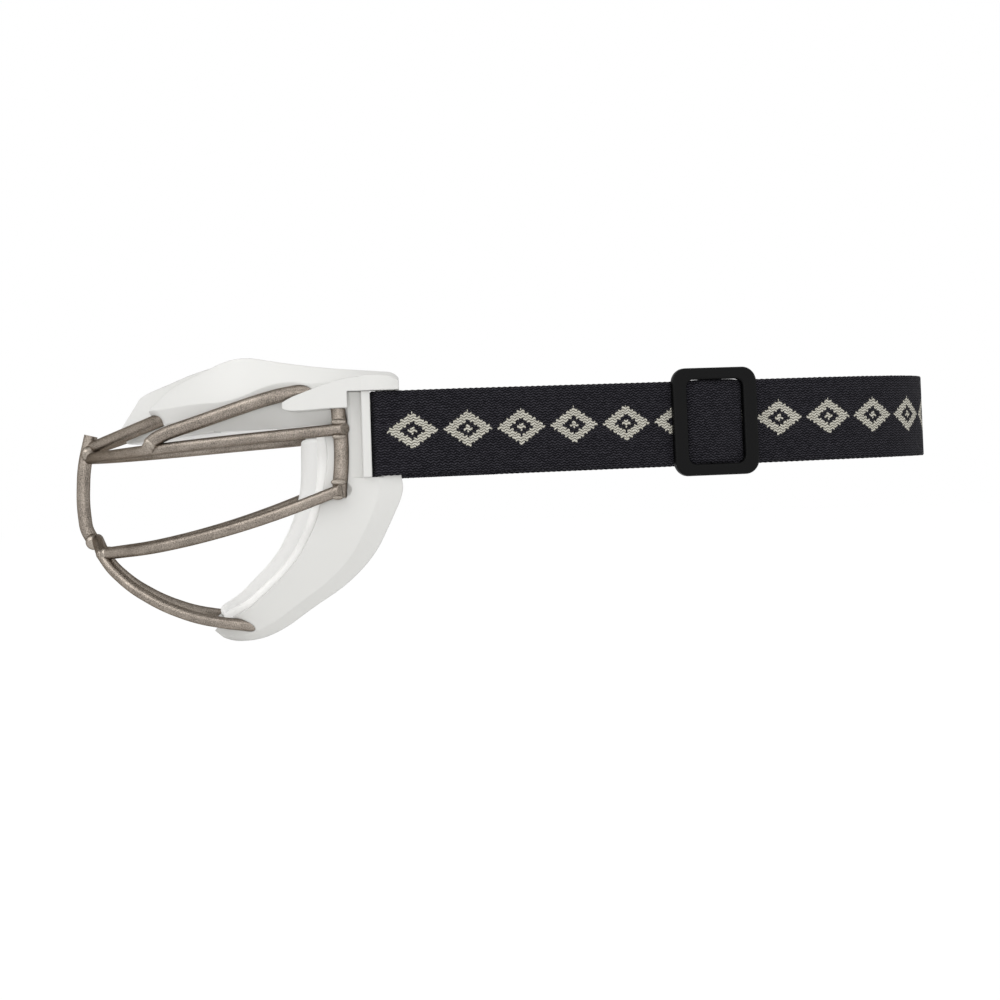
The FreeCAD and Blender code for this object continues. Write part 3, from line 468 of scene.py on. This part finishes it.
def walk(place, heading, moves):
    """Places and headings every STEP along runs and turns, starting with the first."""
    stations = [(place, heading)]
    for move in moves:
        if move[0] == "run":
            count = max(1, round(move[1] / STEP))
            for index in range(count):
                place = ahead(place, heading, move[1] / count)
                stations.append((place, heading))
        else:
            radius, angle = move[1:]
            count = max(2, round(radius * abs(angle) / STEP))
            side = math.copysign(radius, angle)
            centre = aside(place, heading, -side)
            for index in range(count):
                heading += angle / count
                place = aside(centre, heading, side)
                stations.append((place, heading))
    return stations


# The webbing's rounded edges and the teeth that its stitches make along them, in millimetres.
FACE_ROWS = 14
EDGE_DEPTH = 0.35
EDGE_SHARE = 0.55
TOOTH_DEPTH = 0.16
TOOTH_REACH = 1.2


def web_profile(half_thickness, half_height):
    """Places round the webbing's section: (out, up), outer face first."""
    points = []
    for sign in (1, -1):
        for index in range(FACE_ROWS + 1):
            up = sign * (half_height - EDGE_DEPTH) * (1 - 2 * index / FACE_ROWS)
            points.append((sign * half_thickness, up))
        points.append((sign * half_thickness * EDGE_SHARE, -sign * half_height))
        points.append((-sign * half_thickness * EDGE_SHARE, -sign * half_height))
    return points


def add_webbing(name, stations, offset, look, body, nodes):
    """Webbing along its stations at an offset, with toothed edges, in the place of its plain layers."""
    half_height = STRAP_HEIGHT / 2
    profile = web_profile(STRAP_THICKNESS / 2, half_height)
    rings = []
    uvs = []
    travelled = 0.0
    before = None
    for place, heading in stations:
        line = aside(place, heading, offset)
        if before is not None:
            travelled += (line - before).length
        before = line
        tooth = TOOTH_DEPTH * abs(math.sin(math.pi * travelled / STITCH_LENGTH))
        ring = []
        for out, up in profile:
            edge = max(0.0, abs(up) - half_height + TOOTH_REACH) / TOOTH_REACH
            lift = math.copysign(tooth * edge, up)
            ring.append(on_strap(aside(line, heading, out), up - lift))
            uvs.append((travelled, up + half_height))
        rings.append(ring)
    vertices, faces = ring_mesh(rings)
    piece = add_piece(name, vertices, faces, look, body, uvs)
    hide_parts(*nodes)
    return piece


half_moves = [
    ("run", LEAD), ("turn", LEAD_RADIUS, TOE_IN), ("run", STRAIGHT),
    ("turn", SIDE_RADIUS, SIDE_TURN - TOE_IN)]
slide_moves = [("run", LEAD), ("turn", LEAD_RADIUS, TOE_IN), ("run", SLIDE_PLACE)]
slot_turn = walk(TURN_CENTRE + Vector((web_offset, 0, 0)), math.pi, [("turn", web_offset, -math.pi)])


def build_outer_layer():
    """The outer layer, from the left slot round the back of the head to the right slot."""
    fold_place = walk(TURN_CENTRE, 0, half_moves)[-1][0]
    rear_radius = fold_place.x / math.cos(SIDE_TURN)
    moves = half_moves + [("turn", rear_radius, math.pi - 2 * SIDE_TURN)] + half_moves[::-1]
    stations = walk(TURN_CENTRE, 0, moves)
    add_webbing("webbing_outer", stations, web_offset, strap_knit, "goggles", ["strap_web"])


def build_return():
    """The left end: round the slot bar and back along the inside to the slide adjuster.
    """
    run = walk(TURN_CENTRE, 0, slide_moves)
    inner_run = [(aside(place, heading, -web_offset), heading) for place, heading in run]
    stations = slot_turn + [(place, heading + 2 * math.pi) for place, heading in inner_run[1:]]
    piece = add_webbing("webbing_return", stations, 0, plain_knit, None, ["strap_return"])
    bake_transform(piece)


# The right end: how sharply it draws in to the outer layer, its clearance from it, and its sewn length.
DRAW_IN = math.radians(25.0)
DRAW_RADIUS = 8.0
LAYER_GAP = 0.05
SEWN_LENGTH = 12.0


def mirrored_stations(stations):
    """The same stations on the wearer's right."""
    return [(Vector((-place.x, place.y, 0)), -heading + math.pi) for place, heading in stations]


def build_tail():
    """The right end: round its slot bar and in to the outer layer. Gives its last station, on the left."""
    shift = 2 * INNER - LAYER_GAP
    slant = (shift - 2 * DRAW_RADIUS * (1 - math.cos(DRAW_IN))) / math.sin(DRAW_IN)
    moves = [
        ("run", LEAD), ("turn", LEAD_RADIUS - web_offset, TOE_IN), ("turn", DRAW_RADIUS, -DRAW_IN),
        ("run", slant), ("turn", DRAW_RADIUS, DRAW_IN), ("run", SEWN_LENGTH)]
    inner_run = walk(aside(TURN_CENTRE, 0, -web_offset), 0, moves)
    stations = mirrored_stations(slot_turn + inner_run[1:])
    add_webbing("webbing_tail", stations, 0, plain_knit, "goggles", ["strap_tail_right"])
    return inner_run[-1]


# The two rows of stitches: where they lie in the sewn length, and the zigzag of their thread.
TACK_SHARES = (0.25, 0.8)
TACK_INSET = 0.6
TACK_OUT = -0.72
TACK_HALF_WIDTH = 0.55
TACK_HALF_HEIGHT = 10.4
TACK_STITCHES = 76
THREAD_RADIUS = 0.17
THREAD_SIDES = 6


def thread_ring(place, heading, up):
    """A ring round the thread, on the wearer's right."""
    ring = []
    for corner in range(THREAD_SIDES):
        turn = math.radians(360 / THREAD_SIDES * corner)
        point = aside(place, heading, THREAD_RADIUS * math.cos(turn))
        ring.append(on_strap(Vector((-point.x, point.y, 0)), up + THREAD_RADIUS * math.sin(turn)))
    return ring


def add_shape(vertices, faces, shape_vertices, shape_faces):
    """One more closed shape at the end of a mesh's lists."""
    faces += [tuple(len(vertices) + index for index in face) for face in shape_faces]
    vertices += shape_vertices


def build_bar_tacks(tail_end):
    """Two rows of close zigzag stitches that hold the right end of the webbing."""
    end_place, end_heading = tail_end
    vertices = []
    faces = []
    for share in TACK_SHARES:
        middle = ahead(end_place, end_heading, -SEWN_LENGTH * share + TACK_INSET)
        base = aside(middle, end_heading, TACK_OUT)
        rings = []
        for index in range(TACK_STITCHES + 1):
            side = TACK_HALF_WIDTH if index % 2 else -TACK_HALF_WIDTH
            up = TACK_HALF_HEIGHT * (2 * index / TACK_STITCHES - 1)
            rings.append(thread_ring(ahead(base, end_heading, side), end_heading, up))
        for pair in zip(rings, rings[1:]):
            add_shape(vertices, faces, *ring_mesh(pair))
    piece = add_piece("tack_stitches", vertices, faces, tack_thread, "goggles")
    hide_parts("bar_tacks_right")


# The slide adjuster's middle bar, the gap round it, and how far the loop of webbing reaches past the
# bar's middle and back along the strap.
MIDDLE_BAR_HALF = 0.95
MIDDLE_BAR_GAP = 0.05
LOOP_END = 1.7
LOOP_TAIL = 18.0
slide_place, slide_heading = walk(TURN_CENTRE, 0, slide_moves)[-1]


def on_slide(out, along):
    """A place in the slide adjuster's own frame, in plan."""
    return ahead(aside(slide_place, slide_heading, out), slide_heading, along)


def build_loop():
    """The loop of webbing over the middle bar."""
    reach = MIDDLE_BAR_HALF + MIDDLE_BAR_GAP + STRAP_THICKNESS / 2
    end = LOOP_END - MIDDLE_BAR_HALF
    moves = [("run", LOOP_TAIL), ("turn", reach, -math.pi), ("run", 2 * end)]
    stations = walk(on_slide(-reach, end - LOOP_TAIL), slide_heading, moves)
    add_webbing("webbing_loop", stations, 0, plain_knit, "slide", ["strap_end_loop"])


# The webbing in the slide's window: its half length and height, how much it draws in at the corners,
# how far out it lies and swells, and where its knit starts.
CROWN_HALF_LENGTH = 9.35
CROWN_HALF_HEIGHT = 12.88
CROWN_DRAW_IN = 0.05
CROWN_OUT = 3.7
CROWN_SWELL = 1.65
CROWN_START = 4.0
CROWN_STEPS = 48


def build_crown():
    """The webbing where it swells over the middle bar: it fills the window and draws in at its corners."""
    vertices = []
    uvs = []
    for row in range(CROWN_STEPS + 1):
        upward = 2 * row / CROWN_STEPS - 1
        for column in range(CROWN_STEPS + 1):
            forward = 2 * column / CROWN_STEPS - 1
            reach = CROWN_HALF_HEIGHT * (1 - CROWN_DRAW_IN * forward ** 6)
            swell = max(0.0, 1 - forward ** 2) ** 0.6 * max(0.0, 1 - upward ** 8) ** 0.5
            place = on_slide(CROWN_OUT + CROWN_SWELL * swell, forward * CROWN_HALF_LENGTH)
            vertices.append(on_strap(place, upward * reach))
            uvs.append((forward * CROWN_HALF_LENGTH + CROWN_START, upward * reach + STRAP_HEIGHT / 2))
    across = CROWN_STEPS + 1
    faces = []
    for row in range(CROWN_STEPS):
        for column in range(CROWN_STEPS):
            corner = row * across + column
            faces.append((corner, corner + 1, corner + across + 1, corner + across))
    piece = add_piece("webbing_crown", vertices, faces, plain_knit, "slide", uvs)
    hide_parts("strap_crown")


# The frame's half width, depth and height, which the pads' rows are shares of, in millimetres.
HALF_WIDTH = 78.0
FRAME_DEPTH = 98.0
FRAME_HEIGHT = 86.0
# The pads' thickness, their clearance from the mouldings, the cheek frame's wall and its crease's share.
PAD_THICKNESS = 7.0
PAD_GAP = 0.45
CHEEK_WALL = 4.1
CREASE = 0.7
# How far the cheek pads reach in front of their rows' front edges.
CHEEK_LEAD = 2.2
# From the mid plane outwards: across, along, the way the pad faces in degrees, its low and high edge.
BROW_PAD_ROWS = (
    (0, -0.143, 0, 0.13, 0.28), (0.18, -0.129, 9, 0.13, 0.29), (0.346, -0.08, 25, 0.14, 0.31),
    (0.487, -0.005, 40, 0.15, 0.33), (0.6, 0.085, 51, 0.16, 0.35), (0.69, 0.19, 61, 0.165, 0.35),
    (0.745, 0.28, 67, 0.18, 0.31))
# From the top down: the front edge's and the rear edge's places along and up, then how far across the
# frame is at its front, crease and rear, and the share of its width where the pad ends.
CHEEK_PAD_ROWS = (
    (0.394, 0.155, 0.618, 0.155, 0.91, 0.969, 0.969, 0.52),
    (0.394, 0.12, 0.62, 0.12, 0.91, 0.969, 0.969, 0.52),
    (0.388, -0.03, 0.621, -0.03, 0.908, 0.969, 0.969, 0.52),
    (0.371, -0.11, 0.618, -0.087, 0.9, 0.962, 0.962, 0.6),
    (0.353, -0.178, 0.577, -0.192, 0.887, 0.945, 0.936, 0.9),
    (0.31, -0.272, 0.524, -0.297, 0.859, 0.91, 0.905, 0.94),
    (0.266, -0.337, 0.449, -0.384, 0.824, 0.87, 0.867, 0.94),
    (0.217, -0.393, 0.362, -0.453, 0.776, 0.82, 0.814, 0.92),
    (0.162, -0.451, 0.276, -0.523, 0.705, 0.75, 0.744, 0.9),
    (0.106, -0.491, 0.188, -0.572, 0.6, 0.642, 0.64, 0.8),
    (0.078, -0.513, 0.138, -0.579, 0.552, 0.588, 0.584, 0.72))
# How many rings the pads have, over how many of them each end rounds off, and how full the last one is.
BROW_RINGS = 120
CHEEK_RINGS = 80
BROW_END_RINGS = 4
CHEEK_END_RINGS = 7
END_FULLNESS = 0.08
# The pads' section: its points, and the powers that square off its face, its sides and its back.
SECTION_POINTS = 40
SIDE_POWER = 0.8
FACE_POWER = 0.75
BACK_POWER = 0.35


def curve_value(share, before, start, end, after):
    """The value a share of the way from the start to the end, on a smooth curve through all four."""
    return 0.5 * (
        2 * start + (end - before) * share
        + (2 * before - 5 * start + 4 * end - after) * share ** 2
        + (3 * start - before - 3 * end + after) * share ** 3)


def smooth_rows(rows, count):
    """Rows of numbers at even steps on the smooth curve through the given ones."""
    last = len(rows) - 1
    smooth = []
    for index in range(count + 1):
        low = min(int(index * last / count), last - 1)
        share = index * last / count - low
        near = [rows[max(0, min(last, low + shift))] for shift in (-1, 0, 1, 2)]
        smooth.append([curve_value(share, *values) for values in zip(*near)])
    return smooth


def cushion_profile():
    """Places round a cushion's section: along its face from -1 to 1, and away from its back from 0 to 1."""
    points = []
    for index in range(SECTION_POINTS):
        angle = 2 * math.pi * index / SECTION_POINTS
        side, depth = math.cos(angle), math.sin(angle)
        power = FACE_POWER if depth > 0 else BACK_POWER
        points.append((
            math.copysign(abs(side) ** SIDE_POWER, side),
            0.5 + 0.5 * math.copysign(abs(depth) ** power, depth)))
    return points


def end_share(index, count, reach):
    """How full a cushion is near its two ends, as a dome."""
    gap = min(index, count - index) / reach
    return 1.0 if gap >= 1 else max(END_FULLNESS, math.sqrt(1 - (1 - gap) ** 2))


def add_cushion(name, rings, node):
    """A padded piece through its rings."""
    vertices, faces = ring_mesh(rings)
    piece = add_piece(name, vertices, faces, pad_foam, "goggles")
    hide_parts(node)


def brow_ring(row, fullness):
    """The brow pad's section at one row, with its back to the moulding."""
    across, along, facing, low, high = row
    angle = math.radians(facing)
    outward = Vector((math.sin(angle), -math.cos(angle), 0))
    base = Vector((across * HALF_WIDTH, along * FRAME_DEPTH, 0))
    middle = (low + high) / 2 * FRAME_HEIGHT
    half = (high - low) / 2 * FRAME_HEIGHT * fullness
    ring = []
    for side, depth in cushion_profile():
        inward = PAD_GAP + depth * PAD_THICKNESS * fullness
        ring.append((base - outward * inward + Vector((0, 0, middle + side * half))) * MM)
    return ring


def cheek_ring(row, fullness):
    """A cheek pad's section at one row, along the inside of the cheek frame."""
    front_along, front_up, rear_along, rear_up, front_across, crease_across, rear_across, end = row
    front = Vector((0, front_along * FRAME_DEPTH, front_up * FRAME_HEIGHT))
    back = Vector((0, rear_along * FRAME_DEPTH, rear_up * FRAME_HEIGHT)) - front
    lead = -CHEEK_LEAD / back.length
    ring = []
    for side, depth in cushion_profile():
        share = (lead + end) / 2 + side * fullness * (end - lead) / 2
        if share < CREASE:
            across = front_across + (crease_across - front_across) * share / CREASE
        else:
            across = crease_across + (rear_across - crease_across) * (share - CREASE) / (1 - CREASE)
        out = across * HALF_WIDTH - CHEEK_WALL - PAD_GAP - depth * PAD_THICKNESS * fullness
        ring.append((front + back * share + Vector((out, 0, 0))) * MM)
    return ring


def mirrored_rings(rings):
    """The same rings on the wearer's right, with their faces still outwards."""
    return [[Vector((-point.x, point.y, point.z)) for point in reversed(ring)] for ring in rings]


def build_pads():
    """The brow pad and the two cheek pads."""
    right = [
        (-across, along, -facing, low, high)
        for across, along, facing, low, high in BROW_PAD_ROWS[:0:-1]]
    rows = smooth_rows(right + list(BROW_PAD_ROWS), BROW_RINGS)
    rings = [
        brow_ring(row, end_share(index, BROW_RINGS, BROW_END_RINGS)) for index, row in enumerate(rows)]
    add_cushion("pad_brow", rings, "brow_pad")
    rows = smooth_rows(CHEEK_PAD_ROWS, CHEEK_RINGS)
    rings = [
        cheek_ring(row, end_share(index, CHEEK_RINGS, CHEEK_END_RINGS)) for index, row in enumerate(rows)]
    add_cushion("pad_cheek_left", rings, "cheek_pad_left")
    add_cushion("pad_cheek_right", mirrored_rings(rings), "cheek_pad_right")


# Small welds on the cage's sides: where they are, then how far they reach across, along and up.
SIDE_WELDS = (
    ((45.5, -13.2, 11.2), (2.4, 2.45, 2.3)), ((21.2, -28.3, -22.4), (2.05, 2.1, 2.0)),
    ((74.3, 42.6, 15.3), (1.1, 2.3, 1.0)), ((74.3, 42.6, 10.9), (1.0, 2.1, 0.9)),
    ((74.3, 42.0, -2.6), (1.1, 2.3, 1.1)), ((74.3, 41.6, -7.1), (1.0, 1.8, 0.8)))
WELD_ROWS = 12
WELD_COLUMNS = 20
UNEVENNESS = 0.09
UNEVEN_SCALE = 2.2


def direction_at(tilt, turn):
    """The direction at a tilt from the upright and a turn round it."""
    return Vector((math.cos(turn) * math.sin(tilt), math.sin(turn) * math.sin(tilt), math.cos(tilt)))


def weld_rings(centre, reach):
    """Closed rings round an uneven drop of weld metal."""
    rings = []
    for row in range(1, WELD_ROWS):
        tilt = math.pi * row / WELD_ROWS
        ring = []
        for column in range(WELD_COLUMNS):
            direction = direction_at(tilt, 2 * math.pi * column / WELD_COLUMNS)
            uneven = 1 + UNEVENNESS * noise.noise(direction * UNEVEN_SCALE + Vector(centre))
            ring.append([
                middle + spread * share * uneven
                for middle, spread, share in zip(centre, reach, direction)])
        rings.append(ring)
    return rings


def build_side_welds():
    """The welds of both sides, as drops that leave the wires' cut ends bare."""
    for name, sign in (("left", 1), ("right", -1)):
        vertices = []
        faces = []
        for centre, reach in SIDE_WELDS:
            rings = [
                [Vector((sign * x, y, z)) * MM for x, y, z in ring[::sign]]
                for ring in weld_rings(centre, reach)]
            drop_vertices, drop_faces = ring_mesh(rings)
            add_shape(vertices, faces, drop_vertices, [face[::-1] for face in drop_faces])
        piece = add_piece("welds_" + name, vertices, faces, weld_metal, "goggles")
        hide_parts("weld_beads_" + name)


# The floor, in metres: how far it lies under the cheek tips, and half its side.
FLOOR_GAP = 0.0004
FLOOR_REACH = 6.0
# How bright the floor is where it is seen, and how much of what is seen is that white.
SEEN_WHITE = 1.03
WHITE_SHARE = 0.94
# The studio's tone by height, and how strongly it lights and shows.
STUDIO_TONES = ((0.2, rgb(1, 1, 1)), (0.45, rgb(0.75, 0.75, 0.75)), (0.9, rgb(0.55, 0.55, 0.55)))
STUDIO_LIGHT = 0.9
STUDIO_SEEN = 1.0
# Each lamp's name, place and target in metres, width, height and power.
LAMPS = (
    ("key", (0.4, -0.9, 0.75), (0, 0.03, 0), 0.9, 0.6, 5.0),
    ("overhead", (0.5, 0.15, 1.15), (0, 0.08, 0), 0.9, 0.6, 2.0),
    ("fill", (0.8, 0.9, 0.5), (0, 0.08, 0), 0.7, 0.7, 1.4),
    ("low_fill", (1.3, -0.1, 0.08), (0, 0.08, 0), 0.9, 0.24, 2.0))


def seen_share(n):
    """1 where a surface is seen directly, in metal or through glass, and 0 where it only gives light."""
    path = n.add("ShaderNodeLightPath")
    reflected = n.math("MAXIMUM", path.outputs["Is Glossy Ray"], path.outputs["Is Transmission Ray"])
    return n.math("MAXIMUM", path.outputs["Is Camera Ray"], reflected)


def build_stage():
    """A wide pale floor just under the cheek tips."""
    low = cad_box[0][2] - FLOOR_GAP
    corners = [(x * FLOOR_REACH, y * FLOOR_REACH, low) for x, y in ((-1, -1), (1, -1), (1, 1), (-1, 1))]
    mesh = bpy.data.meshes.new("floor")
    mesh.from_pydata(corners, [], [(0, 1, 2, 3)])
    floor = bpy.data.objects.new("floor", mesh)
    bpy.context.scene.collection.objects.link(floor)
    made, n = material("floor_pale")
    share = n.times(seen_share(n), WHITE_SHARE)
    matte = n.add("ShaderNodeBsdfDiffuse", {"Color": rgb(0.95, 0.95, 0.95)})
    white = n.add("ShaderNodeEmission", {"Color": rgb(1, 1, 1), "Strength": SEEN_WHITE})
    close_material(n, n.add("ShaderNodeMixShader", {0: share, 1: matte, 2: white}))
    mesh.materials.append(made)


def build_world():
    """A white studio with a dimmer ceiling."""
    world = bpy.data.worlds.new("studio")
    bpy.context.scene.world = world
    world.use_nodes = True
    n = Nodes(world.node_tree)
    direction = n.add("ShaderNodeTexCoord").outputs["Generated"]
    height = n.add("ShaderNodeSeparateXYZ", {0: direction}).outputs[2]
    tone = n.ramp(height, STUDIO_TONES)
    level = n.spread(seen_share(n), 0.0, 1.0, STUDIO_LIGHT, STUDIO_SEEN)
    back = n.add("ShaderNodeBackground", {"Color": tone, "Strength": level})
    out = n.add("ShaderNodeOutputWorld")
    n.tree.links.new(back.outputs[0], out.inputs[0])


def add_lamp(name, place, target, width, height, power):
    """A soft rectangular lamp that shines towards its target."""
    data = bpy.data.lights.new(name, "AREA")
    data.shape = "RECTANGLE"
    data.size = width
    data.size_y = height
    data.energy = power
    lamp = bpy.data.objects.new(name, data)
    bpy.context.scene.collection.objects.link(lamp)
    lamp.location = place
    lamp.rotation_mode = "QUATERNION"
    lamp.rotation_quaternion = (Vector(target) - Vector(place)).to_track_quat("-Z", "Y")


build_outer_layer()
build_return()
build_bar_tacks(build_tail())
build_loop()
build_crown()
build_pads()
build_side_welds()
dress_nodes()
build_stage()
build_world()
for lamp_settings in LAMPS:
    add_lamp(*lamp_settings)

bpy.context.scene.view_settings.view_transform = "Standard"
